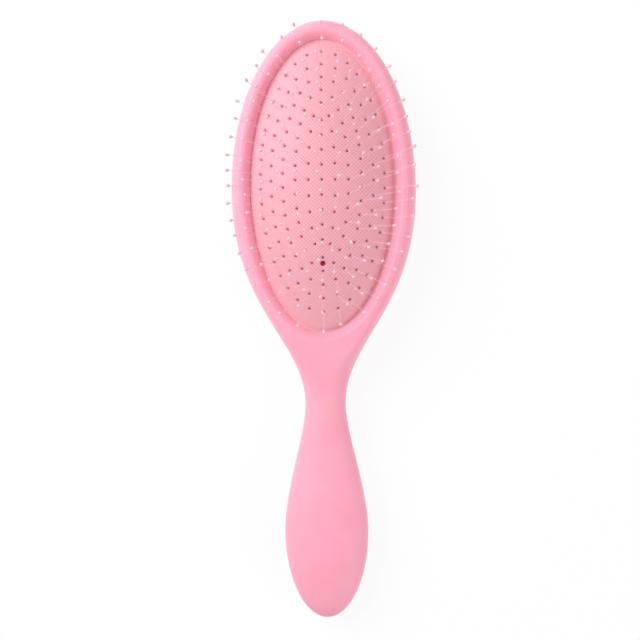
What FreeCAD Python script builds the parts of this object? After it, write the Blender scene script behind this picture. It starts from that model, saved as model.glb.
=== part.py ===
import FreeCAD, Part
import math
import os

from FreeCAD import Placement, Rotation, Vector

# Oval cushion hairbrush lying on its back, bristles up.
# Two welded half shells carry a domed rubber pad, and ball-tipped pins stand in oval rings on the pad.
# X runs across the head, Y along the brush towards the head's tip, Z up from the flat land on the back.

SIZES = (
    ("head_half_width", 34.3, "widest half width of the head, at the parting line"),
    ("head_tip_reach", 62.7, "head centre to the head's tip"),
    ("shoulder_pull", 45.0, "how far the head's side runs on before it turns in to the neck"),
    ("neck_pull", 24.0, "how far the neck runs straight towards the head"),
    ("waist_half_width", 7.5, "half width of the neck at its narrowest"),
    ("waist_reach", 79.8, "head centre to the narrowest neck"),
    ("neck_run", 11.0, "how far the neck runs straight towards the grip"),
    ("grip_run", 15.0, "how far the grip's widest part runs straight towards the neck"),
    ("grip_half_width", 15.5, "half width of the grip at its widest"),
    ("grip_reach", 126.8, "head centre to the widest grip"),
    ("butt_length", 32.4, "widest grip to the end of the handle"),
    ("parting_height", 8.0, "height of the line where the two shells meet"),
    ("rim_rise", 8.5, "rim crest above the parting line"),
    ("rim_round", 4.0, "width of the rounded outer side of the rim"),
    ("waist_rise", 6.3, "neck's front above the parting line"),
    ("grip_rise", 9.0, "grip's front above the parting line"),
    ("land_cut", 0.6, "how much of the back's crown is cut away to leave the flat land"),
    ("waist_depth", 6.2, "neck's back below the parting line"),
    ("grip_lift", 0.2, "grip's back above the surface that the land lies on"),
    ("rim_heel_reach", 55.5, "head centre to the heel end of the level rim"),
    ("crest_flat", 0.3, "half width of the level strip along the crest of neck and grip"),
    ("shell_wall", 2.2, "wall of both shells"),
    ("tongue_height", 1.2, "height of the welding tongue on the back shell"),
    ("tongue_width", 0.8, "width of the welding tongue"),
    ("tongue_inset", 0.7, "outer face of the shells to the welding tongue"),
    ("weld_gap", 0.1, "room between the tongue and its rebate"),
    ("rim_width", 7.4, "width of the rim beside the pad"),
    ("rim_tip_width", 7.8, "width of the rim at the head's tip"),
    ("pad_heel_reach", 53.3, "head centre to the pad's heel"),
    ("pad_drop", 3.3, "pad's edge below the rim crest, under the lip"),
    ("pad_wall", 1.4, "thickness of the rubber"),
    ("dome_height", 9.5, "crown of the pad above its edge"),
    ("dome_semi_height", 40.0, "upright half axis of the ellipsoid that the dome is cut from"),
    ("flange_width", 1.5, "how far the pad's flange reaches under the lip"),
    ("seat_gap", 0.15, "room round the pad's flange in its groove"),
    ("lip_round", 3.2, "rounding of the rim's inner lip"),
    ("cup_wall", 1.6, "wall and floor of the air cup under the pad"),
    ("cup_depth", 3.6, "air cup's floor below the pad's edge"),
    ("cup_root", 1.0, "depth of the cup's root below the rim crest"),
    ("vent_radius", 1.0, "radius of the pad's air vent"),
    ("vent_reach", 28.0, "head centre to the air vent, towards the handle"),
    ("ring_shift", 1.5, "centre of the pin rings ahead of the pad centre"),
    ("ring_margin", 3.9, "pad's edge to the outermost ring, beside the head"),
    ("ring_end_margin", 6.1, "pad's edge to the outermost ring, at the head's ends"),
    ("ring_bend", 7.8, "degrees that the rubber bends from one ring to the next, across the head"),
    ("ring_step", 4.95, "distance between rings along the head"),
    ("centre_half_length", 21.8, "half length of the middle file of pins"),
    ("pin_radius", 0.28, "radius of a pin's shaft"),
    ("pin_length", 20.0, "length of a pin above the rubber, with its ball"),
    ("ball_radius", 0.53, "radius of a pin's ball tip"),
    ("ball_neck", 1.1, "length of the taper under the ball"),
    ("anchor_radius", 0.9, "radius of a pin's anchor head under the rubber"),
    ("anchor_height", 0.7, "height of a pin's anchor head"),
    ("anchor_gap", 0.25, "room between the anchor head and the rubber"),
    ("pin_hole_gap", 0.12, "room round a pin's shaft in the rubber"),
)
RING_PINS = (20, 28, 34, 36, 42)
CENTRE_PINS = 9
QUARTERS = ("heel_right", "tip_right", "tip_left", "heel_left")
TIP_ANGLES = (88.5, 86, 82, 77, 72, 66, 58, 48, 36, 24, 12, 0)
SHOULDER_STATIONS = 9
GRIP_STATIONS = 6
BUTT_ANGLES = (15, 30, 45, 57, 67, 76, 82, 86, 88.5)
SAMPLES = 720
LIP_ANGLES = (15, 30, 45, 60, 75)
LIP_RUN_OUT = 0.5
DOME_STEPS = 24
DOME_COVER = 1.1
MOST_SLOPE = 0.95
DRILL_WALLS = 2

doc = FreeCAD.newDocument("Brush")
sheet = doc.addObject("Spreadsheet::Sheet", "Sizes")
for row, (alias, value, note) in enumerate(SIZES, start=1):
    sheet.set(f"A{row}", note)
    sheet.set(f"B{row}", str(value))
    sheet.setAlias(f"B{row}", alias)
doc.recompute()


def size(alias):
    """One driving dimension in millimetres."""
    return float(sheet.get(alias))


def pad_sizes():
    """Half width, half length and centre of the pad that shows in the rim."""
    tip = size("head_tip_reach") - size("rim_tip_width")
    heel = size("pad_heel_reach")
    return size("head_half_width") - size("rim_width"), (tip + heel) / 2, (tip - heel) / 2


def dome_axes():
    """Half axes of the ellipsoid that the dome is cut from: across, along and upright."""
    semi = size("dome_semi_height")
    share = math.sqrt(1 - ((semi - size("dome_height")) / semi) ** 2)
    half_width, half_length, _ = pad_sizes()
    return half_width / share, half_length / share, semi


def pad_edge():
    """Height of the pad's edge."""
    return size("parting_height") + size("rim_rise") - size("pad_drop")


def ease(share):
    """A smooth step from 0 to 1 with level ends."""
    share = min(max(share, 0.0), 1.0)
    return share * share * (3.0 - 2.0 * share)


def round_off(share):
    """Height of a unit quarter circle at this share of its radius."""
    return math.sqrt(max(0.0, 1.0 - share * share))


def bezier(points, t):
    """A point of a cubic curve with these four control points."""
    s = 1.0 - t
    weights = (s * s * s, 3 * s * s * t, 3 * s * t * t, t * t * t)
    return tuple(sum(w * p[i] for w, p in zip(weights, points)) for i in (0, 1))


def shoulder(inset):
    """Control points of the outline from the widest head to the waist, as (half width, y)."""
    wide = size("head_half_width") - inset
    narrow = size("waist_half_width") - inset
    waist = -size("waist_reach")
    return (wide, 0.0), (wide, -size("shoulder_pull")), (narrow, waist + size("neck_pull")), (narrow, waist)


def grip(inset):
    """Control points of the outline from the waist to the widest grip, as (half width, y)."""
    narrow = size("waist_half_width") - inset
    wide = size("grip_half_width") - inset
    waist = -size("waist_reach")
    widest = -size("grip_reach")
    neck_end = waist - size("neck_run")
    grip_start = widest + size("grip_run")
    return (narrow, waist), (narrow, neck_end), (wide, grip_start), (wide, widest)


def stations(inset):
    """Places along the outline, from the head's tip to the butt, as (half width, y)."""
    head_width = size("head_half_width") - inset
    head_reach = size("head_tip_reach") - inset
    grip_width = size("grip_half_width") - inset
    butt = size("butt_length") - inset
    places = []
    for angle in TIP_ANGLES:
        turn = math.radians(angle)
        places.append((head_width * math.cos(turn), head_reach * math.sin(turn)))
    for step in range(1, SHOULDER_STATIONS + 1):
        places.append(bezier(shoulder(inset), step / SHOULDER_STATIONS))
    for step in range(1, GRIP_STATIONS + 1):
        places.append(bezier(grip(inset), step / GRIP_STATIONS))
    for angle in BUTT_ANGLES:
        turn = math.radians(angle)
        places.append((grip_width * math.cos(turn), -size("grip_reach") - butt * math.sin(turn)))
    return places


def along_handle(y, head, waist, grip_value, start, butt):
    """A height that is level at the head, eases to the waist and the grip, and rounds off at the butt."""
    waist_y = size("waist_reach")
    grip_y = size("grip_reach")
    down = -y
    if down <= waist_y:
        return head + (waist - head) * ease((down - start) / (waist_y - start))
    if down <= grip_y:
        return waist + (grip_value - waist) * ease((down - waist_y) / (grip_y - waist_y))
    return grip_value * round_off((down - grip_y) / butt)


def front_section(y, half_width, inset):
    """Rise of the front above the parting line at y, and the half width of its level crest."""
    crest = size("crest_flat")
    rounding = size("rim_round")
    level_reach = size("head_tip_reach") - rounding
    level_width = size("head_half_width") - rounding
    rim = size("rim_rise") - inset
    if y > 0.0:
        rise = rim * round_off(max(0.0, y - level_reach) / (rounding - inset))
        return rise, level_width * round_off(min(1.0, y / level_reach)) + crest
    rise = along_handle(
        y,
        rim,
        size("waist_rise") - inset,
        size("grip_rise") - inset,
        size("rim_heel_reach"),
        size("butt_length") - inset,
    )
    heel = size("rim_heel_reach")
    fade = 1.0 - ease((-y - heel) / (size("waist_reach") - heel))
    return rise, max(0.0, half_width + inset - rounding) * fade + crest


def back_section(y, half_width, inset):
    """Depth of the back below the parting line at y, and the half width of its level crest."""
    deep = size("parting_height") + size("land_cut") - inset
    if y > 0.0:
        return deep * round_off(y / (size("head_tip_reach") - inset)), size("crest_flat")
    depth = along_handle(
        y,
        deep,
        size("waist_depth") - inset,
        size("parting_height") - size("grip_lift") - inset,
        0.0,
        size("butt_length") - inset,
    )
    return depth, size("crest_flat")


def corner(start, knee, end):
    """A quarter ellipse from start to end, with its tangents meeting at the knee."""
    curve = Part.BezierCurve()
    curve.setPoles([start, knee, end])
    curve.setWeight(2, math.sqrt(0.5))
    return curve.toShape()


def half_body(name, section, side, inset):
    """One half of the body, above or below the parting line: a loft through rounded sections."""
    base = size("parting_height")
    wires = []
    for half_width, y in stations(inset):
        height, level = section(y, half_width, inset)
        top = base + side * height
        right = Vector(half_width, y, base)
        left = Vector(-half_width, y, base)
        crest_right = Vector(level, y, top)
        crest_left = Vector(-level, y, top)
        edges = [
            Part.makeLine(left, right),
            corner(right, Vector(half_width, y, top), crest_right),
            Part.makeLine(crest_right, crest_left),
            corner(crest_left, Vector(-half_width, y, top), left),
        ]
        wires.append(Part.Wire(edges))
    half = doc.addObject("Part::Feature", name)
    half.Shape = Part.makeLoft(wires, True, False)
    return half


def plan_prism(name, inset, room):
    """The brush's outline, drawn in by inset, as a plate as high as the tongue, with room above and below."""
    base = size("parting_height") - room
    head = Part.Ellipse(Vector(0, 0, base), size("head_tip_reach") - inset, size("head_half_width") - inset)
    butt = Part.Ellipse(Vector(0, 0, base), size("butt_length") - inset, size("grip_half_width") - inset)
    head.rotate(Placement(Vector(0, 0, base), Rotation(Vector(0, 0, 1), 90)))
    butt.rotate(Placement(Vector(0, 0, base), Rotation(Vector(0, 0, 1), -90)))
    butt.translate(Vector(0, -size("grip_reach"), 0))
    quarter = math.pi / 2
    edges = [
        Part.ArcOfEllipse(head, -quarter, quarter).toShape(),
        Part.ArcOfEllipse(butt, -quarter, quarter).toShape(),
    ]
    for points in (shoulder(inset), grip(inset)):
        for side in (1, -1):
            curve = Part.BezierCurve()
            curve.setPoles([Vector(side * x, y, base) for x, y in points])
            edges.append(curve.toShape())
    face = Part.Face(Part.Wire(Part.__sortEdges__(edges)))
    plate = doc.addObject("Part::Feature", name)
    plate.Shape = face.extrude(Vector(0, 0, size("tongue_height") + 2 * room))
    return plate


def plan_ring(name, room):
    """The welding tongue's ring on the parting line, made larger by some room on every side."""
    outer = plan_prism(name + "_outer", size("tongue_inset") - room, room)
    inner = plan_prism(name + "_inner", size("tongue_inset") + size("tongue_width") + room, room)
    return cut(name, outer, inner)


def oval(name, half_width, half_length, height):
    """A level oval about the pad's axis; each size is an expression over the sheet."""
    outline = doc.addObject("Part::Ellipse", name)
    outline.Placement = Placement(Vector(), Rotation(Vector(0, 0, 1), 90))
    outline.setExpression("MajorRadius", half_length)
    outline.setExpression("MinorRadius", half_width)
    outline.setExpression("Placement.Base.y", PAD_CENTRE)
    outline.setExpression("Placement.Base.z", height)
    return outline


def oval_column(name, half_width, half_length, bottom, top):
    """An upright oval column about the pad's axis; each size is an expression over the sheet."""
    column = doc.addObject("Part::Extrusion", name)
    column.Base = oval(name + "_outline", half_width, half_length, bottom)
    column.DirMode = "Custom"
    column.Dir = Vector(0, 0, 1)
    column.Solid = True
    column.setExpression("LengthFwd", f"({top}) - ({bottom})")
    return column


def lip_profile():
    """The lip's bend as shares of its radius: out from the opening, up from the crest, run out straight."""
    bend = [(1 - math.cos(math.radians(a)), math.sin(math.radians(a)) - 1) for a in LIP_ANGLES]
    first = math.radians(LIP_ANGLES[0])
    last = math.radians(LIP_ANGLES[-1])
    below = (bend[0][0] - LIP_RUN_OUT * math.sin(first), bend[0][1] - LIP_RUN_OUT * math.cos(first))
    above = (bend[-1][0] + LIP_RUN_OUT * math.sin(last), bend[-1][1] + LIP_RUN_OUT * math.cos(last))
    return [below, *bend, above]


def dome_block(name, shrink):
    """The space under the dome, drawn in by shrink, as a block with one smooth face on top.

    The face covers a square of even slopes about the crown, a little beyond the pad's flange.
    """
    across, along, semi = dome_axes()
    half_width, _, middle = pad_sizes()
    reach = math.asin(min(MOST_SLOPE, (half_width + size("flange_width")) / (across - shrink)))
    steps = [math.tan(DOME_COVER * reach * (2 * i / DOME_STEPS - 1)) for i in range(DOME_STEPS + 1)]
    centre = pad_edge() + size("dome_height") - semi
    rows = []
    for right in steps:
        row = []
        for ahead in steps:
            far = math.sqrt(1 + right ** 2 + ahead ** 2)
            row.append(Vector(
                (across - shrink) * right / far,
                (along - shrink) * ahead / far + middle,
                (semi - shrink) / far + centre,
            ))
        rows.append(row)
    crown = Part.BSplineSurface()
    crown.interpolate(rows)
    block = doc.addObject("Part::Feature", name)
    block.Shape = crown.toShape().extrude(Vector(0, 0, -semi))
    return block


def cut(name, base, tool):
    """Base with the tool's space taken out."""
    result = doc.addObject("Part::Cut", name)
    result.Base = base
    result.Tool = tool
    result.Refine = False
    return result


def fuse(name, *pieces):
    """Pieces made one solid."""
    result = doc.addObject("Part::MultiFuse", name)
    result.Shapes = list(pieces)
    result.Refine = True
    return result


def common(name, base, tool):
    """The space that base and tool share."""
    result = doc.addObject("Part::Common", name)
    result.Base = base
    result.Tool = tool
    return result


def label(feature, name):
    """Give a finished sub-part its name and list it for writing."""
    feature.Label = name
    sub_parts.append(feature)


RIM_CREST = "Sizes.parting_height + Sizes.rim_rise"
PAD_EDGE = RIM_CREST + " - Sizes.pad_drop"
PAD_TIP = "Sizes.head_tip_reach - Sizes.rim_tip_width"
PAD_WIDTH = "Sizes.head_half_width - Sizes.rim_width"
PAD_LENGTH = f"({PAD_TIP} + Sizes.pad_heel_reach) / 2"
PAD_CENTRE = f"({PAD_TIP} - Sizes.pad_heel_reach) / 2"
FLANGE_WIDTH = PAD_WIDTH + " + Sizes.flange_width"
FLANGE_LENGTH = PAD_LENGTH + " + Sizes.flange_width"
FLANGE_BOTTOM = PAD_EDGE + " - Sizes.pad_wall"
GROOVE_WIDTH = FLANGE_WIDTH + " + Sizes.seat_gap"
GROOVE_LENGTH = FLANGE_LENGTH + " + Sizes.seat_gap"
CUP_FLOOR = PAD_EDGE + " - Sizes.cup_depth"
sub_parts = []

# Front shell: the upper half of the body, hollow, with a lipped oval opening and an air cup under it.
wall = size("shell_wall")
front_solid = half_body("front_solid", front_section, 1, 0.0)
front_hollow = half_body("front_hollow", front_section, 1, wall)
opening = oval_column("opening", PAD_WIDTH, PAD_LENGTH, "0", RIM_CREST + " + Sizes.rim_rise")
flare = doc.addObject("Part::Loft", "flare")
flare.Sections = [
    oval(
        f"flare_{number}",
        f"{PAD_WIDTH} + {out} * Sizes.lip_round",
        f"{PAD_LENGTH} + {out} * Sizes.lip_round",
        f"{RIM_CREST} + {up} * Sizes.lip_round",
    )
    for number, (out, up) in enumerate(lip_profile())
]
flare.Solid = True
inside = doc.addObject("Part::Compound", "inside")
inside.Links = [front_hollow, plan_ring("weld_groove", size("weld_gap"))]
front_skin = cut("front_skin", cut("rim", front_solid, opening), inside)
cup_block = oval_column(
    "cup_block",
    GROOVE_WIDTH + " + Sizes.cup_wall",
    GROOVE_LENGTH + " + Sizes.cup_wall",
    CUP_FLOOR + " - Sizes.cup_wall",
    RIM_CREST + " - Sizes.cup_root",
)
well = oval_column("well", PAD_WIDTH, PAD_LENGTH, CUP_FLOOR, RIM_CREST)
groove = oval_column("groove", GROOVE_WIDTH, GROOVE_LENGTH, FLANGE_BOTTOM + " - Sizes.seat_gap", PAD_EDGE)
cup = cut("cup", cut("cup_bore", cup_block, well), groove)
front_shell = cut("front_shell", fuse("front_body", front_skin, cup), flare)
label(front_shell, "front_shell")

# Back shell: the lower half, hollow, with a welding tongue round its edge and a flat land under the head.
back_solid = half_body("back_solid", back_section, -1, 0.0)
back_hollow = half_body("back_hollow", back_section, -1, wall)
tongue = plan_ring("tongue", 0.0)
back_skin = cut("back_skin", back_solid, back_hollow)
below_land = doc.addObject("Part::Box", "below_land")
below_land.setExpression("Length", "2 * Sizes.head_half_width")
below_land.setExpression("Width", "2 * Sizes.head_tip_reach")
below_land.setExpression("Height", "Sizes.parting_height")
below_land.setExpression("Placement.Base.x", "-Sizes.head_half_width")
below_land.setExpression("Placement.Base.y", "-Sizes.head_tip_reach")
below_land.setExpression("Placement.Base.z", "-Sizes.parting_height")
back_shell = fuse("back_shell", cut("back_land", back_skin, below_land), tongue)
label(back_shell, "back_shell")


# Cushion pad: a thin dome with a flange, an air vent and a hole for each pin.
def dome_point(x, y):
    """The dome's surface over (x, y) measured from the pad's axis, and its outward direction."""
    across, along, semi = dome_axes()
    _, _, middle = pad_sizes()
    up = semi * math.sqrt(1 - (x / across) ** 2 - (y / along) ** 2)
    centre = pad_edge() + size("dome_height") - semi
    normal = Vector(x / across ** 2, y / along ** 2, up / semi ** 2).normalize()
    return Vector(x, y + middle, centre + up), normal


def ring_places(half_width, half_length, count):
    """Places spaced evenly along an oval ring, from its heel round by the right, about the pad's axis."""
    turns = [2 * math.pi * i / SAMPLES for i in range(SAMPLES + 1)]
    curve = [(half_width * math.sin(t), size("ring_shift") - half_length * math.cos(t)) for t in turns]
    run = [0.0]
    for here, there in zip(curve, curve[1:]):
        run.append(run[-1] + math.dist(here, there))
    places = []
    for number in range(count):
        goal = run[-1] * number / count
        places.append(curve[min(range(SAMPLES), key=lambda i: abs(run[i] - goal))])
    return places


def pin_groups():
    """Every group of pins by name, as places about the pad's axis."""
    reach = size("centre_half_length")
    pitch = 2 * reach / (CENTRE_PINS - 1)
    groups = {"pins_centre": [(0.0, size("ring_shift") - reach + pitch * i) for i in range(CENTRE_PINS)]}
    pad_width, pad_length, _ = pad_sizes()
    outer_width = pad_width - size("ring_margin")
    outer_length = pad_length - size("ring_end_margin")
    bend = math.radians(size("ring_bend"))
    rings = len(RING_PINS)
    for ring, count in enumerate(RING_PINS, start=1):
        half_width = outer_width * math.sin(ring * bend) / math.sin(rings * bend)
        half_length = outer_length - (rings - ring) * size("ring_step")
        places = ring_places(half_width, half_length, count)
        for quarter, name in enumerate(QUARTERS):
            chosen = [p for i, p in enumerate(places) if 4 * i // count == quarter]
            groups[f"pins_ring_{ring}_{name}"] = chosen
    return groups


def standing(shape, x, y):
    """A copy of an upright shape moved onto the dome, square to the rubber."""
    foot, normal = dome_point(x, y)
    copy = shape.copy()
    copy.Placement = Placement(foot, Rotation(Vector(0, 0, 1), normal))
    return copy


groups = pin_groups()
dome_cap = common(
    "dome_cap",
    dome_block("dome_outer", 0.0),
    oval_column("above_edge", FLANGE_WIDTH, FLANGE_LENGTH, PAD_EDGE, PAD_EDGE + " + 2 * Sizes.dome_height"),
)
flange = oval_column("flange", FLANGE_WIDTH, FLANGE_LENGTH, FLANGE_BOTTOM, PAD_EDGE)
membrane = cut("membrane", fuse("pad_block", dome_cap, flange), dome_block("dome_inner", size("pad_wall")))
doc.recompute()
depth = DRILL_WALLS * size("pad_wall")
drill = Part.makeCylinder(size("pin_radius") + size("pin_hole_gap"), 2 * depth, Vector(0, 0, -depth))
vent_drill = Part.makeCylinder(size("vent_radius"), 2 * depth, Vector(0, 0, -depth))
drills = [standing(drill, x, y) for places in groups.values() for x, y in places]
drills.append(standing(vent_drill, 0.0, -size("vent_reach") - pad_sizes()[2]))
holes = doc.addObject("Part::Feature", "holes")
holes.Shape = Part.makeCompound(drills)
cushion_pad = cut("cushion_pad", membrane, holes)
label(cushion_pad, "cushion_pad")

# Pins: an anchor head under the rubber, a thin shaft through it and a ball tip, each one solid.
anchor = doc.addObject("Part::Cylinder", "anchor")
anchor.setExpression("Radius", "Sizes.anchor_radius")
anchor.setExpression("Height", "Sizes.anchor_height")
anchor.setExpression("Placement.Base.z", "-Sizes.pad_wall - Sizes.anchor_gap - Sizes.anchor_height")
shaft = doc.addObject("Part::Cylinder", "shaft")
shaft.setExpression("Radius", "Sizes.pin_radius")
shaft.setExpression("Height", "Sizes.pad_wall + Sizes.anchor_gap + Sizes.pin_length - Sizes.ball_radius")
shaft.setExpression("Placement.Base.z", "-Sizes.pad_wall - Sizes.anchor_gap")
taper = doc.addObject("Part::Cone", "taper")
taper.setExpression("Radius1", "Sizes.pin_radius")
taper.setExpression("Radius2", "Sizes.ball_radius")
taper.setExpression("Height", "Sizes.ball_neck")
taper.setExpression("Placement.Base.z", "Sizes.pin_length - Sizes.ball_radius - Sizes.ball_neck")
ball = doc.addObject("Part::Sphere", "ball")
ball.setExpression("Radius", "Sizes.ball_radius")
ball.setExpression("Placement.Base.z", "Sizes.pin_length - Sizes.ball_radius")
pin = fuse("pin", anchor, shaft, taper, ball)
doc.recompute()
for name, places in groups.items():
    group = doc.addObject("Part::Feature", name)
    group.Shape = Part.makeCompound([standing(pin.Shape, x, y) for x, y in places])
    label(group, name)

doc.recompute()
for item in doc.Objects:
    if {"Invalid", "Error"} & set(item.State):
        raise RuntimeError(f"{item.Label} failed: {item.State}")
for feature in sub_parts:
    if feature.Shape.isNull() or not feature.Shape.isValid():
        raise RuntimeError(f"{feature.Label} has no valid shape")
os.makedirs("parts", exist_ok=True)
for feature in sub_parts:
    feature.Shape.exportStep(f"parts/{feature.Label}.step")
    print(feature.Label, len(feature.Shape.Solids), round(feature.Shape.Volume, 1))
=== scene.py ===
"""Dressed scene of an oval detangling brush: soft-touch shells, a domed rubber pad and ball-tipped pins."""

import logging
import math
from dataclasses import dataclass
from enum import Enum, IntEnum
from typing import Iterator

import bmesh
import bpy
import numpy as np
from mathutils import Matrix, Vector
from mathutils.geometry import delaunay_2d_cdt


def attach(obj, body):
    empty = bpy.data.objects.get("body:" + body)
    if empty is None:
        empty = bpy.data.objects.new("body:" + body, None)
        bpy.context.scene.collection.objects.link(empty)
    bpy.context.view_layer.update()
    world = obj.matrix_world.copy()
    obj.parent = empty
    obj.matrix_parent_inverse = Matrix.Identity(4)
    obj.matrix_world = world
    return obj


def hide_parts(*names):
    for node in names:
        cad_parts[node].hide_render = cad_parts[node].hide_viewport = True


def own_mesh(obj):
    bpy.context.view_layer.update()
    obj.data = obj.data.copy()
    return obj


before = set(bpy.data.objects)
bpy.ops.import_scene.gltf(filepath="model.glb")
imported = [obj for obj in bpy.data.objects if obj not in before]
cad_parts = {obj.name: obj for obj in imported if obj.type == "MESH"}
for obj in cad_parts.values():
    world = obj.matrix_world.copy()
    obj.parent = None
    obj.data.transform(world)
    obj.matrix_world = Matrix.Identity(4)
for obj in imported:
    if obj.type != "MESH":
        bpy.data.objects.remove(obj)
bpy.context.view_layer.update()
LOG = logging.getLogger("brush")
PHOTO_PIXELS = 640
FIRST_SEED = 54
WELD_DISTANCE = 2e-7
SLIVER_LENGTH = 1e-8
NET_TOLERANCE = 1e-7
LEAST_SQUARE = 1e-6
MM_PER_M = 1000.0
NOISE_ROUGHNESS = 0.55
RAMP_STOPS = (0.3, 0.7)
WHITE = (1.0, 1.0, 1.0, 1.0)


class Half(Enum):
    """The two moulded halves of the body, with the way each one bulges from the parting line."""

    FRONT = 1
    BACK = -1


class PadFinish(IntEnum):
    """Numbers of the pad's finishes, in the order in which they go on the mesh: the rubber, then the painted
    shade in the vent and in the pits.
    """

    RUBBER = 0
    VENT_SHADE = 1
    PIT_SHADE = 2


def ease(share: np.ndarray) -> np.ndarray:
    """Smooth step from 0 to 1 with level ends: 3 s squared less 2 s cubed."""
    s = np.clip(share, 0.0, 1.0)
    return s * s * (3.0 - 2.0 * s)


def round_off(share: np.ndarray) -> np.ndarray:
    """Height of a unit quarter circle at this share of its radius."""
    return np.sqrt(np.clip(1.0 - np.square(share), 0.0, None))


def grid_faces(rows: int, columns: int, start: int = 0, wrap: bool = False) -> np.ndarray:
    """Corner numbers of the quads of a grid.

    Args:
        rows: Number of vertex rows.
        columns: Number of vertices in a row.
        start: Number of the first vertex.
        wrap: Whether each row closes on itself.

    Returns:
        An array of four vertex numbers per quad.
    """
    row = np.arange(rows - 1)[:, None]
    last = columns if wrap else columns - 1
    column = np.arange(last)[None, :]
    after = (column + 1) % columns
    a = start + row * columns + column
    b = start + row * columns + after
    c = start + (row + 1) * columns + after
    d = start + (row + 1) * columns + column
    return np.stack([a, b, c, d], axis=-1).reshape(-1, 4)


def make_piece(name: str, points: np.ndarray, faces: list, sharp: float,
               groups: np.ndarray | None = None) -> bpy.types.Object:
    """A welded, smooth-shaded mesh object whose faces point outwards.

    Args:
        name: Object name.
        points: Vertex places in metres.
        faces: Lists of vertex numbers.
        sharp: Angle in degrees above which an edge stays crisp.
        groups: Number of each face's finish, where there is more than one.

    Returns:
        The new object, at the origin.
    """
    mesh = bpy.data.meshes.new(name)
    mesh.from_pydata(points.tolist(), [], faces)
    if groups is not None:
        mesh.polygons.foreach_set("material_index", groups.astype(np.int32))
    work = bmesh.new()
    work.from_mesh(mesh)
    bmesh.ops.remove_doubles(work, verts=work.verts, dist=WELD_DISTANCE)
    bmesh.ops.dissolve_degenerate(work, edges=work.edges, dist=SLIVER_LENGTH)
    bmesh.ops.recalc_face_normals(work, faces=work.faces)
    work.to_mesh(mesh)
    work.free()
    mesh.polygons.foreach_set("use_smooth", np.ones(len(mesh.polygons), dtype=bool))
    mesh.set_sharp_from_angle(angle=math.radians(sharp))
    piece = bpy.data.objects.new(name, mesh)
    bpy.context.scene.collection.objects.link(piece)
    return piece


def linear(red: int, green: int, blue: int) -> tuple[float, float, float, float]:
    """A colour written as it looks on a screen, 0 to 255, as linear light with full cover."""
    shares = np.array([red, green, blue]) / 255.0
    low = shares / 12.92
    high = ((shares + 0.055) / 1.055) ** 2.4
    light = np.where(shares <= 0.04045, low, high)
    return float(light[0]), float(light[1]), float(light[2]), 1.0


def seen_rays(tree: bpy.types.NodeTree) -> bpy.types.NodeSocket:
    """1 for camera, mirror and clear rays, which see a white ground, and 0 for all others."""
    path = tree.nodes.new("ShaderNodeLightPath")
    seen = path.outputs["Is Camera Ray"]
    for ray in ("Is Glossy Ray", "Is Transmission Ray"):
        either = tree.nodes.new("ShaderNodeMath")
        either.operation = "MAXIMUM"
        tree.links.new(seen, either.inputs[0])
        tree.links.new(path.outputs[ray], either.inputs[1])
        seen = either.outputs[0]
    return seen


class Nodes:
    """A short way to lay out one material's node tree."""

    def __init__(self, name: str) -> None:
        """Start a material with only its output and a shader."""
        self.material = bpy.data.materials.new(name)
        self.material.use_nodes = True
        self.tree = self.material.node_tree
        self.shader = self.tree.nodes["Principled BSDF"]

    def add(self, kind: str, **settings: object) -> bpy.types.Node:
        """A new node with some of its settings or input values given."""
        node = self.tree.nodes.new(kind)
        for key, value in settings.items():
            if key in node.inputs:
                node.inputs[key].default_value = value
            else:
                setattr(node, key, value)
        return node

    def link(self, source: bpy.types.NodeSocket, target: bpy.types.NodeSocket) -> None:
        """Join an output to an input."""
        self.tree.links.new(source, target)

    def set(self, values: dict[str, object]) -> None:
        """Give some of the shader's own sockets a constant."""
        for name, value in values.items():
            self.shader.inputs[name].default_value = value

    def colour(self, source: bpy.types.NodeSocket, deep: tuple, light: tuple) -> None:
        """Let the source blend the shader's colour from deep to light."""
        self.link(self.ramp(source, deep, light), self.shader.inputs["Base Color"])

    def mix_in(self, other: bpy.types.Node) -> bpy.types.NodeSocket:
        """Put a mix of the shader and another one on the output, and give the socket of the other's share."""
        mix = self.add("ShaderNodeMixShader")
        self.link(self.shader.outputs[0], mix.inputs[1])
        self.link(other.outputs[0], mix.inputs[2])
        self.link(mix.outputs[0], self.tree.nodes["Material Output"].inputs["Surface"])
        return mix.inputs[0]

    def place(self) -> bpy.types.NodeSocket:
        """The piece's own coordinates in metres."""
        return self.add("ShaderNodeTexCoord").outputs["Object"]

    def noise(self, place: bpy.types.NodeSocket, per_metre: float, detail: float) -> bpy.types.NodeSocket:
        """Soft noise with this many lumps per metre."""
        node = self.add("ShaderNodeTexNoise", Scale=per_metre, Detail=detail, Roughness=NOISE_ROUGHNESS)
        self.link(place, node.inputs["Vector"])
        return node.outputs["Fac"]

    def ramp(self, source: bpy.types.NodeSocket, low: tuple, high: tuple) -> bpy.types.NodeSocket:
        """Blend from one colour to another as the source goes from one stop to the other."""
        node = self.add("ShaderNodeValToRGB")
        for element, stop, colour in zip(node.color_ramp.elements, RAMP_STOPS, (low, high)):
            element.position = stop
            element.color = colour
        self.link(source, node.inputs["Fac"])
        return node.outputs["Color"]

    def maths(self, kind: str, first: object, second: object = None) -> bpy.types.NodeSocket:
        """One step of arithmetic on sockets or plain numbers."""
        node = self.add("ShaderNodeMath", operation=kind)
        for socket, value in zip(node.inputs, (first, second)):
            if isinstance(value, bpy.types.NodeSocket):
                self.link(value, socket)
            elif value is not None:
                socket.default_value = value
        return node.outputs[0]

    def bump(self, height: bpy.types.NodeSocket, depth: float) -> None:
        """Let a height from 0 to 1, which stands for this depth in metres, tilt the shader's surface."""
        node = self.add("ShaderNodeBump", Strength=1.0, Distance=depth)
        self.link(height, node.inputs["Height"])
        self.link(node.outputs["Normal"], self.shader.inputs["Normal"])


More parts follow.
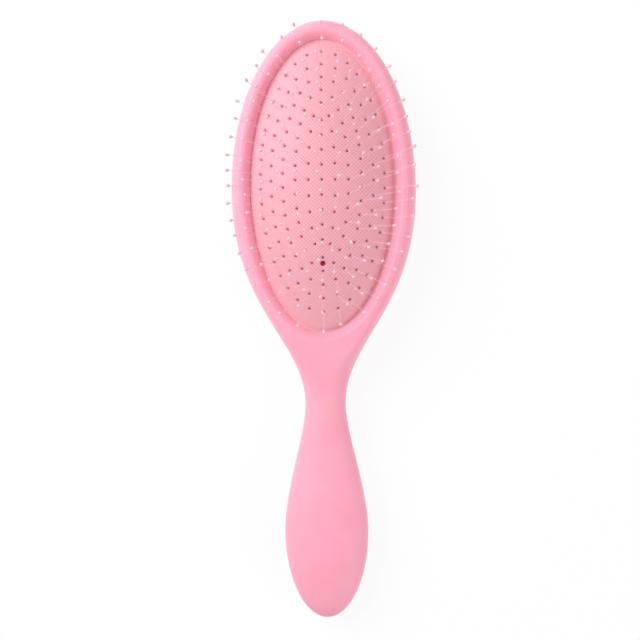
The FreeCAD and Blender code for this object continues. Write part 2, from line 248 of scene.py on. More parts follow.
@dataclass(frozen=True)
class SoftTouchFinish:
    """Matte pink plastic with a velvety lacquer: a faint mottle and a very fine grain."""

    light: tuple = linear(253, 168, 189)
    deep: tuple = linear(249, 162, 183)
    roughness: float = 0.44
    specular: float = 0.32
    sheen: float = 0.12
    sheen_roughness: float = 0.5
    mottle_per_metre: float = 60.0
    grain_per_metre: float = 5200.0
    grain_depth: float = 0.000012
    glow: float = 0.25
    glow_reach: float = 0.003
    glow_spread: tuple = (1.0, 0.35, 0.40)

    def make(self) -> bpy.types.Material:
        """Build the material."""
        nodes = Nodes("soft_touch_pink")
        place = nodes.place()
        nodes.colour(nodes.noise(place, self.mottle_per_metre, detail=2.0), self.deep, self.light)
        nodes.set({
            "Roughness": self.roughness,
            "Specular IOR Level": self.specular,
            "Sheen Weight": self.sheen,
            "Sheen Roughness": self.sheen_roughness,
            "Subsurface Weight": self.glow,
            "Subsurface Radius": self.glow_spread,
            "Subsurface Scale": self.glow_reach,
        })
        nodes.bump(nodes.noise(place, self.grain_per_metre, detail=1.0), self.grain_depth)
        return nodes.material


@dataclass(frozen=True)
class RubberFinish:
    """Pink rubber with a fine diagonal cross-hatch pressed into it, which fades towards the edge."""

    light: tuple = linear(240, 178, 189)
    deep: tuple = linear(226, 157, 171)
    pitch: float = 0.00100
    hatch_middle: tuple = (0.0040, 0.0010)
    hatch_reach: tuple = (0.0190, 0.0450)
    fade_start: float = 0.25
    edge_trace: float = 0.15
    middle: float = 0.5
    swing: float = 0.25
    roughness: float = 0.5
    specular: float = 0.35
    groove_depth: float = 0.00004
    glow: float = 0.3
    glow_reach: float = 0.0012
    glow_spread: tuple = (1.0, 0.35, 0.35)

    def hatch(self, nodes: Nodes, place: bpy.types.NodeSocket) -> bpy.types.NodeSocket:
        """Height of the hatch: the mean of two sine waves along the two diagonals, about a half."""
        parts = nodes.add("ShaderNodeSeparateXYZ")
        nodes.link(place, parts.inputs[0])
        turns = 2.0 * math.pi / (self.pitch * math.sqrt(2.0))
        waves = []
        for kind in ("ADD", "SUBTRACT"):
            along = nodes.maths(kind, parts.outputs["X"], parts.outputs["Y"])
            waves.append(nodes.maths("SINE", nodes.maths("MULTIPLY", along, turns)))
        both = nodes.maths("MULTIPLY", nodes.maths("ADD", *waves), self.presence(nodes, parts))
        return nodes.maths("ADD", nodes.maths("MULTIPLY", both, self.swing), self.middle)

    def presence(self, nodes: Nodes, parts: bpy.types.Node) -> bpy.types.NodeSocket:
        """Share of the full hatch: all of it near the middle, down to a trace at an oval's edge."""
        squares = []
        for axis, middle, reach in zip("XY", self.hatch_middle, self.hatch_reach):
            share = nodes.maths("DIVIDE", nodes.maths("SUBTRACT", parts.outputs[axis], middle), reach)
            squares.append(nodes.maths("MULTIPLY", share, share))
        fade = nodes.add("ShaderNodeMapRange", interpolation_type="SMOOTHSTEP")
        nodes.link(nodes.maths("ADD", *squares), fade.inputs["Value"])
        fade.inputs["From Min"].default_value = self.fade_start
        fade.inputs["To Min"].default_value = 1.0
        fade.inputs["To Max"].default_value = self.edge_trace
        return fade.outputs["Result"]

    def make(self) -> bpy.types.Material:
        """Build the material."""
        nodes = Nodes("hatched_rubber")
        hatch = self.hatch(nodes, nodes.place())
        nodes.colour(hatch, self.deep, self.light)
        nodes.set({
            "Roughness": self.roughness,
            "Specular IOR Level": self.specular,
            "Subsurface Weight": self.glow,
            "Subsurface Radius": self.glow_spread,
            "Subsurface Scale": self.glow_reach,
        })
        nodes.bump(hatch, self.groove_depth)
        return nodes.material


@dataclass(frozen=True)
class PaintedShadeFinish:
    """Painted shade inside a hole: a deep, slightly mottled rubber colour that stands in for the shade there,
    where only light that has gone through rubber falls.
    """

    name: str
    light: tuple
    deep: tuple
    roughness: float = 0.6
    mottle_per_metre: float = 2500.0

    def make(self) -> bpy.types.Material:
        """Build the material."""
        nodes = Nodes(self.name)
        nodes.colour(nodes.noise(nodes.place(), self.mottle_per_metre, detail=2.0), self.deep, self.light)
        nodes.set({"Roughness": self.roughness})
        return nodes.material


@dataclass(frozen=True)
class NylonFinish:
    """Clear, faintly pink nylon: satin, a little cloudy, and thin enough to see through."""

    name: str
    see_through: float
    light: tuple
    deep: tuple
    roughness: float = 0.45
    cloud_per_metre: float = 900.0
    specular: float = 0.15

    def make(self) -> bpy.types.Material:
        """Build the material: the satin skin mixed with what lies behind it."""
        nodes = Nodes(self.name)
        nodes.colour(nodes.noise(nodes.place(), self.cloud_per_metre, detail=1.0), self.deep, self.light)
        nodes.set({"Roughness": self.roughness, "Specular IOR Level": self.specular})
        nodes.mix_in(nodes.add("ShaderNodeBsdfTransparent")).default_value = self.see_through
        return nodes.material


# Painted shade: a deep red on the walls of the air vent, standing in for the dim shade down inside the hole.
VENT_SHADE_FINISH = PaintedShadeFinish("vent_painted_shade", linear(172, 22, 60), linear(152, 14, 48))
# Painted shade: a darker rose on the inner walls of the pit round each pin's root, standing in for the shade
# in these holes.
PIT_SHADE_FINISH = PaintedShadeFinish("pin_hole_painted_shade", linear(208, 120, 138), linear(192, 104, 122))
SHAFT_NYLON = NylonFinish("clear_nylon_shaft", 0.84, linear(255, 214, 223), linear(251, 205, 215))
BALL_NYLON = NylonFinish("cloudy_nylon_ball", 0.14, linear(252, 206, 215), linear(245, 195, 205))


@dataclass
class BodyShape:
    """Outline and section of handle and head, in metres, about the middle of the head's back."""

    head_half_width: float = 0.0343
    head_tip_reach: float = 0.0627
    shoulder_pull: float = 0.0450
    neck_pull: float = 0.0240
    waist_half_width: float = 0.0075
    waist_reach: float = 0.0798
    neck_run: float = 0.0110
    grip_run: float = 0.0150
    grip_half_width: float = 0.0155
    grip_reach: float = 0.1268
    butt_length: float = 0.0324
    parting_height: float = 0.0080
    rim_rise: float = 0.0085
    rim_round: float = 0.0040
    waist_rise: float = 0.0063
    grip_rise: float = 0.0090
    land_cut: float = 0.0006
    waist_depth: float = 0.0062
    grip_lift: float = 0.0002
    rim_heel_reach: float = 0.0555
    crest_flat: float = 0.0003
    samples: int = 4000

    def __post_init__(self) -> None:
        """Sample the outline densely, from the butt to the tip."""
        t = np.linspace(0.0, 1.0, self.samples)
        turn = t * math.pi / 2
        waist, grip = -self.waist_reach, -self.grip_reach
        butt = (self.grip_half_width * np.sin(turn), grip - self.butt_length * np.cos(turn))
        handle = self.cubic(
            (self.grip_half_width, self.grip_half_width, self.waist_half_width, self.waist_half_width),
            (grip, grip + self.grip_run, waist - self.neck_run, waist), t)
        shoulder = self.cubic(
            (self.waist_half_width, self.waist_half_width, self.head_half_width, self.head_half_width),
            (waist, waist + self.neck_pull, -self.shoulder_pull, 0.0), t)
        head = (self.head_half_width * np.cos(turn), self.head_tip_reach * np.sin(turn))
        runs = (butt, handle, shoulder, head)
        self.outline_width = np.concatenate([run[0] for run in runs])
        self.outline_y = np.concatenate([run[1] for run in runs])

    @staticmethod
    def cubic(widths: tuple, places: tuple, t: np.ndarray) -> tuple[np.ndarray, np.ndarray]:
        """A cubic curve through four control points, as half widths and places along the brush."""
        s = 1.0 - t
        weights = np.stack([s ** 3, 3 * s * s * t, 3 * s * t * t, t ** 3])
        return np.array(widths) @ weights, np.array(places) @ weights

    def half_width(self, y: np.ndarray) -> np.ndarray:
        """Half width of the outline at y."""
        return np.interp(y, self.outline_y, self.outline_width)

    def along(self, y: np.ndarray, head: float, waist: float, grip: float, start: float) -> np.ndarray:
        """A height level at the head, eased to the waist and the grip, rounded off at the butt."""
        down = -y
        to_waist = ease((down - start) / (self.waist_reach - start))
        to_grip = ease((down - self.waist_reach) / (self.grip_reach - self.waist_reach))
        level = head + (waist - head) * to_waist + (grip - waist) * to_grip
        return level * round_off(np.clip((down - self.grip_reach) / self.butt_length, 0.0, 1.0))

    def front(self, y: np.ndarray) -> tuple[np.ndarray, np.ndarray]:
        """Rise of the front above the parting line, and half width of its level crest."""
        level_reach = self.head_tip_reach - self.rim_round
        level_width = self.head_half_width - self.rim_round
        tip = round_off(np.clip((y - level_reach) / self.rim_round, 0.0, 1.0))
        rise = self.along(y, self.rim_rise, self.waist_rise, self.grip_rise, self.rim_heel_reach) * tip
        fade = 1.0 - ease((-y - self.rim_heel_reach) / (self.waist_reach - self.rim_heel_reach))
        heel_flat = np.clip(self.half_width(y) - self.rim_round, 0.0, None) * fade
        tip_flat = level_width * round_off(np.clip(y / level_reach, 0.0, 1.0))
        flat = np.where(y > 0.0, tip_flat, heel_flat) + self.crest_flat
        return rise, np.minimum(flat, self.half_width(y))

    def back(self, y: np.ndarray) -> tuple[np.ndarray, np.ndarray]:
        """Depth of the back below the parting line, and half width of its level crest."""
        tip = round_off(np.clip(y / self.head_tip_reach, 0.0, 1.0))
        deep = self.parting_height + self.land_cut
        grip = self.parting_height - self.grip_lift
        depth = self.along(y, deep, self.waist_depth, grip, 0.0) * tip
        return depth, np.minimum(np.full_like(y, self.crest_flat), self.half_width(y))


@dataclass
class PadShape:
    """The oval that the rim leaves open, and the dome that fills it, in metres."""

    body: BodyShape
    rim_width: float = 0.0074
    rim_tip_width: float = 0.0078
    heel_reach: float = 0.0533
    drop: float = 0.0033
    wall: float = 0.0014
    dome_height: float = 0.0095
    dome_semi_height: float = 0.0400
    cup_depth: float = 0.0036
    vent_radius: float = 0.0010
    vent_reach: float = 0.0280

    @property
    def half_width(self) -> float:
        """Half width of the opening."""
        return self.body.head_half_width - self.rim_width

    @property
    def tip_reach(self) -> float:
        """Head centre to the opening's tip."""
        return self.body.head_tip_reach - self.rim_tip_width

    @property
    def half_length(self) -> float:
        """Half length of the opening."""
        return (self.tip_reach + self.heel_reach) / 2

    @property
    def centre(self) -> float:
        """Middle of the opening along the brush."""
        return (self.tip_reach - self.heel_reach) / 2

    @property
    def edge_height(self) -> float:
        """Height of the pad's edge."""
        return self.body.parting_height + self.body.rim_rise - self.drop

    def surface(self, plan: np.ndarray) -> tuple[np.ndarray, np.ndarray]:
        """The dome over plan points: a cap of an ellipsoid.

        Args:
            plan: Points (x, y) measured from the middle of the opening.

        Returns:
            The points on the dome, and the outward directions there.
        """
        semi = self.dome_semi_height
        share = math.sqrt(1.0 - ((semi - self.dome_height) / semi) ** 2)
        axes = np.array([self.half_width, self.half_length]) / share
        up = semi * np.sqrt(np.clip(1.0 - np.square(plan / axes).sum(axis=-1), LEAST_SQUARE, None))
        height = self.edge_height + self.dome_height - semi + up
        points = np.stack([plan[..., 0], plan[..., 1] + self.centre, height], axis=-1)
        normal = np.concatenate([plan / axes ** 2, (up / semi ** 2)[..., None]], axis=-1)
        return points, normal / np.linalg.norm(normal, axis=-1, keepdims=True)


@dataclass
class PinField:
    """Where the pins stand: a middle file and five oval rings, evenly spaced along each."""

    pad: PadShape
    counts: tuple = (20, 28, 34, 36, 42)
    centre_count: int = 9
    centre_half_length: float = 0.0218
    ring_shift: float = 0.0015
    ring_margin: float = 0.0039
    ring_end_margin: float = 0.0061
    ring_bend: float = math.radians(7.8)
    ring_step: float = 0.00495
    samples: int = 720

    def centre(self) -> np.ndarray:
        """Plan places of the middle file, from heel to tip."""
        reach = self.centre_half_length
        y = self.ring_shift + np.linspace(-reach, reach, self.centre_count)
        return np.stack([np.zeros_like(y), y], axis=-1)

    def ring(self, number: int) -> np.ndarray:
        """Plan places along one oval ring, an equal run apart, from the heel round by the right."""
        rings = len(self.counts)
        outer_width = self.pad.half_width - self.ring_margin
        width = outer_width * math.sin(number * self.ring_bend) / math.sin(rings * self.ring_bend)
        length = self.pad.half_length - self.ring_end_margin - (rings - number) * self.ring_step
        turn = np.linspace(0.0, 2.0 * math.pi, self.samples + 1)
        curve = np.stack([width * np.sin(turn), self.ring_shift - length * np.cos(turn)], axis=-1)
        run = np.concatenate([[0.0], np.cumsum(np.linalg.norm(np.diff(curve, axis=0), axis=1))])
        goal = run[-1] * np.arange(self.counts[number - 1]) / self.counts[number - 1]
        at = np.interp(goal, run, turn)
        return np.stack([width * np.sin(at), self.ring_shift - length * np.cos(at)], axis=-1)

    def groups(self) -> Iterator[tuple[str, str, tuple, np.ndarray]]:
        """Each group as its piece name, body, CAD nodes and plan places."""
        yield "centre_pin_file", "centre_pins", ("pins_centre",), self.centre()
        quarters = ("heel_right", "tip_right", "tip_left", "heel_left")
        for number in range(1, len(self.counts) + 1):
            nodes = tuple(f"pins_ring_{number}_{quarter}" for quarter in quarters)
            yield f"pin_ring_{number}", f"ring_{number}_pins", nodes, self.ring(number)

    def places(self) -> np.ndarray:
        """Plan places of every pin."""
        return np.concatenate([plan for _, _, _, plan in self.groups()])


@dataclass
class Shell:
    """One moulded half of the body, closed along the parting line, with a fine parting groove."""

    body: BodyShape
    pad: PadShape
    half: Half
    lip_fall: float = 0.0032
    parting_groove: float = 0.00010
    pad_rows: int = 180
    tip_rows: int = 22
    handle_pitch: float = 0.0011
    butt_rows: int = 30
    side_columns: int = 22
    crest_columns: int = 6
    lip_columns: int = 11
    wall_columns: int = 4
    sharp: float = 55.0

    def rows(self) -> tuple[np.ndarray, np.ndarray]:
        """Places of the section rows along the brush, and which of them cross the opening.

        The rows bunch towards both ends of the lip, towards the tip and towards the butt.
        """
        reach = self.pad.half_length + self.lip_fall
        lip = self.pad.centre - reach * np.cos(np.linspace(0.0, math.pi, self.pad_rows))
        start = math.asin(lip[-1] / self.body.head_tip_reach)
        tip = self.body.head_tip_reach * np.sin(np.linspace(start, math.pi / 2, self.tip_rows))[1:]
        count = int((self.body.grip_reach + lip[0]) / self.handle_pitch)
        handle = np.linspace(-self.body.grip_reach, lip[0], count)[:-1]
        turn = np.linspace(math.pi / 2, 0.0, self.butt_rows)[:-1]
        butt = -self.body.grip_reach - self.body.butt_length * np.sin(turn)
        y = np.concatenate([butt, handle, lip, tip])
        crosses = (y >= lip[0]) & (y <= lip[-1])
        return y, crosses

    def section(self, y: np.ndarray, inner: np.ndarray) -> np.ndarray:
        """Right half of the outer skin: a quarter ellipse from the parting line, then the level crest.

        Args:
            y: Row places along the brush.
            inner: Half width that each row's crest runs in to.

        Returns:
            Points as rows by columns.
        """
        width = self.body.half_width(y)
        height, flat = self.body.front(y) if self.half is Half.FRONT else self.body.back(y)
        groove = np.minimum(self.parting_groove, 0.5 * height)
        turn = np.linspace(0.0, math.pi / 2, self.side_columns)[None, :]
        side_x = flat[:, None] + (width - flat)[:, None] * np.cos(turn)
        side_z = groove[:, None] + (height - groove)[:, None] * np.sin(turn)
        run = np.linspace(0.0, 1.0, self.crest_columns)[None, 1:]
        crest_x = flat[:, None] + (inner - flat)[:, None] * run
        crest_z = np.repeat(height[:, None], self.crest_columns - 1, axis=1)
        start_x = np.clip(width - groove, 0.0, None)[:, None]
        x = np.concatenate([start_x, side_x, crest_x], axis=1)
        up = np.concatenate([np.zeros_like(start_x), side_z, crest_z], axis=1)
        z = self.body.parting_height + self.half.value * up
        if self.half is Half.BACK:
            z = np.clip(z, 0.0, None)
        return np.stack([x, np.repeat(y[:, None], x.shape[1], axis=1), z], axis=-1)

    def lip(self, y: np.ndarray) -> np.ndarray:
        """Right half of the lip and the well's wall.

        The lip drops by its fall times the run squared, as the run goes from 0 at the crest to 1 at the wall.

        Args:
            y: Row places along the brush.

        Returns:
            Points as rows by columns.
        """
        pad = self.pad
        reach = pad.half_length + self.lip_fall
        cosine = np.clip((y - pad.centre) / reach, -1.0, 1.0)
        sine = np.sqrt(1.0 - cosine ** 2)
        run = np.linspace(0.0, 1.0, self.lip_columns)
        out = self.lip_fall * (1.0 - run)
        crest = self.body.parting_height + self.body.rim_rise
        bend_z = crest - self.lip_fall * np.square(run)
        floor = pad.edge_height - pad.cup_depth
        wall_z = np.linspace(bend_z[-1], floor, self.wall_columns)[1:]
        out = np.concatenate([out, np.zeros(self.wall_columns - 1)])
        z = np.concatenate([bend_z, wall_z])
        x = (pad.half_width + out)[None, :] * sine[:, None]
        along = pad.centre + (pad.half_length + out)[None, :] * cosine[:, None]
        return np.stack([x, along, np.repeat(z[None, :], len(y), axis=0)], axis=-1)

    def build(self) -> bpy.types.Object:
        """Join the skin, the lip, the cup's floor and the parting face into one closed mesh."""
        y, crosses = self.rows()
        inner = np.zeros_like(y)
        if self.half is Half.FRONT:
            reach = self.pad.half_length + self.lip_fall
            inner = (self.pad.half_width + self.lip_fall) * round_off((y - self.pad.centre) / reach)
            inner = np.where(crosses, inner, 0.0)
        sheets = [self.section(y, inner)]
        if self.half is Half.FRONT:
            sheets.append(self.lip(y[crosses]))
        points, faces, total = [], [], 0
        edge_numbers: list[list[np.ndarray]] = []
        for sheet in sheets:
            pair = []
            rows, columns = sheet.shape[:2]
            for side in (1.0, -1.0):
                points.append((sheet * np.array([side, 1.0, 1.0])).reshape(-1, 3))
                faces.append(grid_faces(rows, columns, total))
                pair.append(total + np.arange(rows * columns).reshape(rows, columns))
                total += rows * columns
            edge_numbers.append(pair)
        faces.append(self.bridge(edge_numbers[0][0][:, 0], edge_numbers[0][1][:, 0]))
        if self.half is Half.FRONT:
            faces.append(self.bridge(edge_numbers[1][0][:, -1], edge_numbers[1][1][:, -1]))
        name = "front_shell_skin" if self.half is Half.FRONT else "back_shell_skin"
        return make_piece(name, np.concatenate(points), np.concatenate(faces).tolist(), self.sharp)

    @staticmethod
    def bridge(right: np.ndarray, left: np.ndarray) -> np.ndarray:
        """Quads that span from one side's edge to the other's, row by row."""
        return np.stack([right[:-1], right[1:], left[1:], left[:-1]], axis=-1)

    def dress(self, piece: bpy.types.Object, material: bpy.types.Material) -> None:
        """Finish the shell and put it in its CAD node's place."""
        piece.data.materials.append(material)
        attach(piece, "handle")
        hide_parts("front_shell" if self.half is Half.FRONT else "back_shell")


@dataclass
class CushionPad:
    """The domed rubber membrane: a fine triangle net with a pit round each pin and a round air vent."""

    pad: PadShape
    pins: PinField
    edge_gap: float = 0.00001
    grid_pitch: float = 0.0011
    pit_sides: int = 10
    pit_radii: tuple = (0.00028, 0.00037, 0.00047, 0.00072, 0.00110)
    pit_depths: tuple = (0.00120, 0.00105, 0.00040, 0.00008, 0.0)
    vent_sides: int = 28
    vent_rings: tuple = (0.28, 0.65, 1.0, 1.12, 1.35, 1.75)
    vent_sinks: tuple = (0.0007, 0.00045, 0.0002, 0.00005, 0.0, 0.0)
    vent_clear: float = 2.1
    # Rings of the vent and of each pit, counted from the inside, that carry the painted shade colour.
    vent_shaded_rings: int = 3
    pit_shaded_rings: int = 2
    grid_clear: float = 0.55
    sharp: float = 80.0
    edge_points: int = 320
    edge_rings: tuple = (0.0, 0.00030, 0.00060, 0.00100, 0.00160)
    gutter_shares: tuple = (0.0, 0.60, 1.0, 0.55, 0.0)
    gutter_sink: tuple = (0.00005, 0.00050)
    sink_side: float = math.radians(115.0)

    def plan(self) -> tuple[np.ndarray, np.ndarray, np.ndarray, np.ndarray]:
        """Plan points of the net: a staggered grid, and rings round each pin, the vent and the edge.

        Returns:
            The points from the middle of the opening, how far each is sunk, the finish that each lies in,
            and the numbers of the points round the vent's wall.
        """
        pad = self.pad
        width, length = pad.half_width - self.edge_gap, pad.half_length - self.edge_gap
        row_pitch = self.grid_pitch * math.sqrt(3.0) / 2
        rows = np.arange(-int(length / row_pitch), int(length / row_pitch) + 1)
        columns = np.arange(-int(width / self.grid_pitch) - 1, int(width / self.grid_pitch) + 2)
        x = columns[None, :] * self.grid_pitch + (rows[:, None] % 2) * self.grid_pitch / 2
        y = np.repeat(rows[:, None] * row_pitch, len(columns), axis=1)
        grid = np.stack([x, y], axis=-1).reshape(-1, 2)
        margin = self.edge_rings[-1] + self.grid_clear * self.grid_pitch
        inside = np.square(grid / (np.array([width, length]) - margin)).sum(axis=1) < 1.0
        grid = grid[inside]
        places = self.pins.places()
        clear = self.pit_radii[-1] + self.grid_clear * self.grid_pitch
        near_pin = np.linalg.norm(grid[:, None] - places[None], axis=-1).min(axis=1) < clear
        vent = np.array([0.0, -pad.vent_reach - pad.centre])
        near_vent = np.linalg.norm(grid - vent, axis=1) < self.vent_clear * pad.vent_radius
        grid = grid[~near_pin & ~near_vent]
        turn = 2.0 * math.pi * np.arange(self.pit_sides) / self.pit_sides
        circle = np.stack([np.cos(turn), np.sin(turn)], axis=-1)
        radii = np.array(self.pit_radii)
        pits = (places[:, None, None] + radii[None, :, None, None] * circle[None, None]).reshape(-1, 2)
        depths = np.tile(np.repeat(self.pit_depths, self.pit_sides), len(places))
        spin = 2.0 * math.pi * np.arange(self.vent_sides) / self.vent_sides
        wheel = np.stack([np.cos(spin), np.sin(spin)], axis=-1)
        vent_rings = np.array(self.vent_rings) * pad.vent_radius
        mouth = (vent + vent_rings[:, None, None] * wheel[None]).reshape(-1, 2)
        around = 2.0 * math.pi * np.arange(self.edge_points) / self.edge_points
        inset = np.array(self.edge_rings)[:, None]
        edge = np.stack([(width - inset) * np.sin(around), (length - inset) * np.cos(around)], axis=-1)
        edge = edge.reshape(-1, 2)
        shallow, deep = self.gutter_sink
        round_sink = shallow + (deep - shallow) * (1.0 + np.cos(around - self.sink_side)) / 2
        edge_sink = (np.array(self.gutter_shares)[:, None] * round_sink).reshape(-1)
        points = np.concatenate([edge, mouth, pits, grid])
        sink = np.concatenate([
            edge_sink, np.repeat(self.vent_sinks, self.vent_sides), depths, np.zeros(len(grid))])
        # Painted shade: the inner rings of each pit and of the vent take a darker colour that stands in for
        # the shade down in these holes.
        shaded_rings = PadFinish.PIT_SHADE * (np.arange(len(radii)) < self.pit_shaded_rings)
        pit_finish = np.tile(np.repeat(shaded_rings, self.pit_sides), len(places))
        shaded_rings = PadFinish.VENT_SHADE * (np.arange(len(vent_rings)) < self.vent_shaded_rings)
        vent_finish = np.repeat(shaded_rings, self.vent_sides)
        finish = np.full(len(points), PadFinish.RUBBER, dtype=int)
        finish[len(edge):-len(grid)] = np.concatenate([vent_finish, pit_finish])
        hole = len(edge) + np.arange(self.vent_sides)
        return points, sink, finish, hole

    def build(self) -> bpy.types.Object:
        """Triangulate the net in millimetres, lift it on the dome, and close it below and round its edges."""
        plan, sink, finish, hole = self.plan()
        net = delaunay_2d_cdt((plan * MM_PER_M).tolist(), [], [], 0, NET_TOLERANCE)
        triangles, origin = np.array(net[2]), np.array(net[3])[:, 0]
        faces = origin[triangles]
        in_hole = np.isin(faces, hole).all(axis=1)
        faces = faces[~in_hole]
        bare, normal = self.pad.surface(plan)
        top = bare - normal * sink[:, None]
        under = bare - normal * self.pad.wall
        count = len(plan)
        rim = np.arange(self.edge_points)
        loops = []
        for loop in (rim, hole):
            after = np.roll(loop, -1)
            loops.append(np.stack([loop, after, after + count, loop + count], axis=-1))
        all_faces = np.concatenate([faces, faces[:, ::-1] + count]).tolist() + np.concatenate(loops).tolist()
        kinds = finish[faces]
        groups = np.full(len(all_faces), PadFinish.RUBBER, dtype=int)
        groups[:len(faces)] = np.where((kinds == kinds[:, :1]).all(axis=1), kinds[:, 0], PadFinish.RUBBER)
        points = np.concatenate([top, under])
        return make_piece("cushion_pad_rubber", points, all_faces, self.sharp, groups)

    def dress(self, piece: bpy.types.Object, materials: tuple) -> None:
        """Finish the pad, put it in its CAD node's place and give it a mesh of its own."""
        for material in materials:
            piece.data.materials.append(material)
        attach(piece, "handle")
        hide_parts("cushion_pad")
        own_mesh(piece)


@dataclass
class PinGroup:
    """One file or ring of pins: thin shafts with drop-shaped ball tips, each a little bent by use."""

    pad: PadShape
    name: str
    body_name: str
    nodes: tuple
    plan: np.ndarray
    seed: int
    length: float = 0.0200
    shaft_radius: float = 0.00025
    ball_radius: float = 0.00062
    ball_neck: float = 0.0014
    root_depth: float = 0.0017
    bend: float = 0.0007
    most_bends: float = 2.0
    sides: int = 7
    sharp: float = 70.0
    ball_ring: int = 2
    ball_turns: tuple = (-25.0, 5.0, 35.0, 62.0, 84.0)

    def profile(self) -> np.ndarray:
        """Run along the pin and radius there: a straight shaft, a taper and a round end."""
        top = self.length
        ball = top - self.ball_radius
        turn = np.radians(self.ball_turns)
        radius = self.ball_radius
        round_end = np.stack([ball + radius * np.sin(turn), radius * np.cos(turn)], axis=-1)
        shaft = np.array([[-self.root_depth, self.shaft_radius],
                          [0.5 * top, self.shaft_radius],
                          [ball - self.ball_neck, self.shaft_radius]])
        return np.concatenate([shaft, round_end])

    def build(self) -> bpy.types.Object:
        """Carry the profile along each pin, which leaves square to the dome and bends by the run squared."""
        foot, up = self.pad.surface(self.plan)
        side = np.cross(up, np.array([0.0, 1.0, 0.0]))
        side /= np.linalg.norm(side, axis=1, keepdims=True)
        fore = np.cross(up, side)
        draw = np.random.default_rng(self.seed).normal(size=(len(foot), 2))
        draw = self.bend * np.clip(draw, -self.most_bends, self.most_bends)
        lean = draw[:, :1] * side + draw[:, 1:] * fore
        run, radius = self.profile().T
        bow = np.square(np.clip(run, 0.0, None) / self.length)
        axis = foot[:, None] + run[None, :, None] * up[:, None] + bow[None, :, None] * lean[:, None]
        turn = 2.0 * math.pi * np.arange(self.sides) / self.sides
        spoke = np.cos(turn)[None, :, None] * side[:, None] + np.sin(turn)[None, :, None] * fore[:, None]
        points = axis[:, :, None] + radius[None, :, None, None] * spoke[:, None]
        rings = len(run)
        per_pin = rings * self.sides
        one = grid_faces(rings, self.sides, 0, wrap=True)
        start = np.arange(len(foot))[:, None, None] * per_pin
        quads = (one[None] + start).reshape(-1, 4)
        caps = np.stack([np.arange(self.sides)[::-1], np.arange(self.sides) + per_pin - self.sides])
        ends = (caps[None] + start).reshape(-1, self.sides)
        ball = (quads.min(axis=1) % per_pin) >= self.ball_ring * self.sides
        groups = np.concatenate([ball, np.tile([False, True], len(foot))])
        faces = quads.tolist() + ends.tolist()
        return make_piece(self.name, points.reshape(-1, 3), faces, self.sharp, groups)

    def dress(self, piece: bpy.types.Object, shaft: bpy.types.Material, ball: bpy.types.Material) -> None:
        """Finish the pins and put them in their CAD nodes' place."""
        piece.data.materials.append(shaft)
        piece.data.materials.append(ball)
        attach(piece, self.body_name)
        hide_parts(*self.nodes)


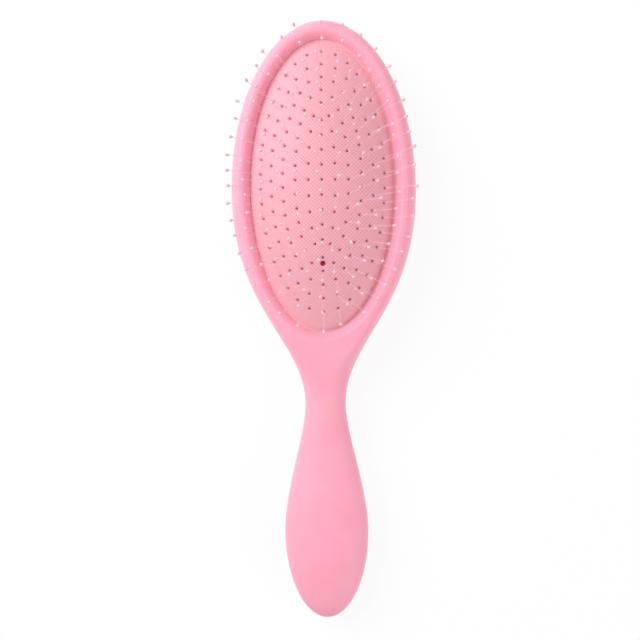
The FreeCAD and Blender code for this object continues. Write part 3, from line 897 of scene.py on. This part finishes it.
@dataclass
class Studio:
    """White floor, soft light from the upper left and a camera above the brush."""

    camera_height: float = 0.460
    millimetres_per_pixel: float = 0.373
    aim: tuple = (-0.0018, -0.0485)
    roll: float = math.radians(-0.55)
    tilt: float = math.radians(2.5)
    focus_height: float = 0.0080
    sensor: float = 36.0
    floor_size: float = 8.0
    floor_drop: float = 0.0001
    key_power: float = 7.0
    key_place: tuple = (-0.52, 0.34, 0.56)
    fill_power: float = 2.8
    fill_place: tuple = (0.66, -0.46, 0.40)
    lamp_target: tuple = (0.0, -0.04, 0.02)
    lamp_width: float = 0.60
    sky: float = 0.445
    floor_glow: float = 0.6
    floor_colour: tuple = (0.9, 0.9, 0.9, 1.0)
    floor_roughness: float = 0.9
    shadow_share: float = 0.10
    shadow_reach: float = 0.22

    def white(self, nodes: Nodes) -> None:
        """Mix a white glow with the lit floor, which keeps a share near the brush to hold its shadow."""
        far = nodes.add("ShaderNodeVectorMath", operation="LENGTH")
        nodes.link(nodes.place(), far.inputs[0])
        fade = nodes.add("ShaderNodeMapRange", interpolation_type="SMOOTHSTEP")
        nodes.link(far.outputs["Value"], fade.inputs["Value"])
        fade.inputs["From Min"].default_value = self.shadow_reach
        fade.inputs["From Max"].default_value = 2.0 * self.shadow_reach
        fade.inputs["To Min"].default_value = 1.0 - self.shadow_share
        fade.inputs["To Max"].default_value = 1.0
        more = nodes.maths("SUBTRACT", fade.outputs["Result"], self.floor_glow)
        share = nodes.maths("MULTIPLY", seen_rays(nodes.tree), more)
        glow = nodes.mix_in(nodes.add("ShaderNodeEmission", Color=WHITE))
        nodes.link(nodes.maths("ADD", share, self.floor_glow), glow)

    def floor(self) -> bpy.types.Object:
        """A wide pale floor just under the brush."""
        half = self.floor_size / 2
        mesh = bpy.data.meshes.new("studio_floor")
        low = -self.floor_drop
        corners = [(-half, -half, low), (half, -half, low), (half, half, low), (-half, half, low)]
        mesh.from_pydata(corners, [], [(0, 1, 2, 3)])
        floor = bpy.data.objects.new("studio_floor", mesh)
        bpy.context.scene.collection.objects.link(floor)
        nodes = Nodes("pale_floor")
        nodes.set({"Base Color": self.floor_colour, "Roughness": self.floor_roughness})
        self.white(nodes)
        mesh.materials.append(nodes.material)
        return floor

    def world(self) -> None:
        """Even white light from all round, seen as white by camera, mirror and clear rays."""
        world = bpy.data.worlds.new("studio_sky")
        world.use_nodes = True
        tree = world.node_tree
        background = tree.nodes["Background"]
        mix = tree.nodes.new("ShaderNodeMix")
        mix.data_type = "FLOAT"
        mix.inputs["A"].default_value = self.sky
        mix.inputs["B"].default_value = 1.0
        tree.links.new(seen_rays(tree), mix.inputs["Factor"])
        tree.links.new(mix.outputs["Result"], background.inputs["Strength"])
        background.inputs["Color"].default_value = WHITE
        bpy.context.scene.world = world

    def lamp(self, name: str, place: tuple, power: float) -> None:
        """A square soft box at a place, facing the brush."""
        light = bpy.data.lights.new(name, "AREA")
        light.energy = power
        light.size = self.lamp_width
        lamp = bpy.data.objects.new(name, light)
        aim = (Vector(self.lamp_target) - Vector(place)).to_track_quat("-Z", "Y").to_matrix().to_4x4()
        lamp.matrix_world = Matrix.Translation(place) @ aim
        bpy.context.scene.collection.objects.link(lamp)

    def camera(self) -> None:
        """A lens above the brush, a little to its right, turned by the small lean that the photograph has."""
        data = bpy.data.cameras.new("photo_camera")
        view_width = PHOTO_PIXELS * self.millimetres_per_pixel / MM_PER_M
        data.sensor_width = self.sensor
        data.lens = self.sensor * self.camera_height / view_width
        camera = bpy.data.objects.new("photo_camera", data)
        target = Vector((self.aim[0], self.aim[1], self.focus_height))
        turn = Matrix.Rotation(self.tilt, 4, "Y") @ Matrix.Rotation(self.roll, 4, "Z")
        spot = target + turn @ Vector((0.0, 0.0, self.camera_height))
        camera.matrix_world = Matrix.Translation(spot) @ turn
        bpy.context.scene.collection.objects.link(camera)
        bpy.context.scene.camera = camera

    def build(self) -> None:
        """Set up floor, lights and camera."""
        bpy.context.scene.view_settings.view_transform = "Standard"
        self.floor()
        self.world()
        self.lamp("key_box", self.key_place, self.key_power)
        self.lamp("fill_box", self.fill_place, self.fill_power)
        self.camera()


def main() -> None:
    """Build every piece, dress it, and set up the studio."""
    logging.basicConfig(level=logging.INFO, format="%(name)s: %(message)s")
    body = BodyShape()
    pad = PadShape(body)
    pins = PinField(pad)
    soft_touch = SoftTouchFinish().make()
    for half in Half:
        shell = Shell(body, pad, half)
        piece = shell.build()
        shell.dress(piece, soft_touch)
        LOG.info("%s: %d faces", piece.name, len(piece.data.polygons))
    cushion = CushionPad(pad, pins)
    piece = cushion.build()
    cushion.dress(piece, (RubberFinish().make(), VENT_SHADE_FINISH.make(), PIT_SHADE_FINISH.make()))
    LOG.info("%s: %d faces", piece.name, len(piece.data.polygons))
    shaft, ball = SHAFT_NYLON.make(), BALL_NYLON.make()
    for seed, (name, body_name, nodes, plan) in enumerate(pins.groups(), start=FIRST_SEED):
        group = PinGroup(pad, name, body_name, nodes, plan, seed)
        piece = group.build()
        group.dress(piece, shaft, ball)
        LOG.info("%s: %d pins, %d faces", piece.name, len(plan), len(piece.data.polygons))
    Studio().build()


if __name__ == "__main__":
    main()
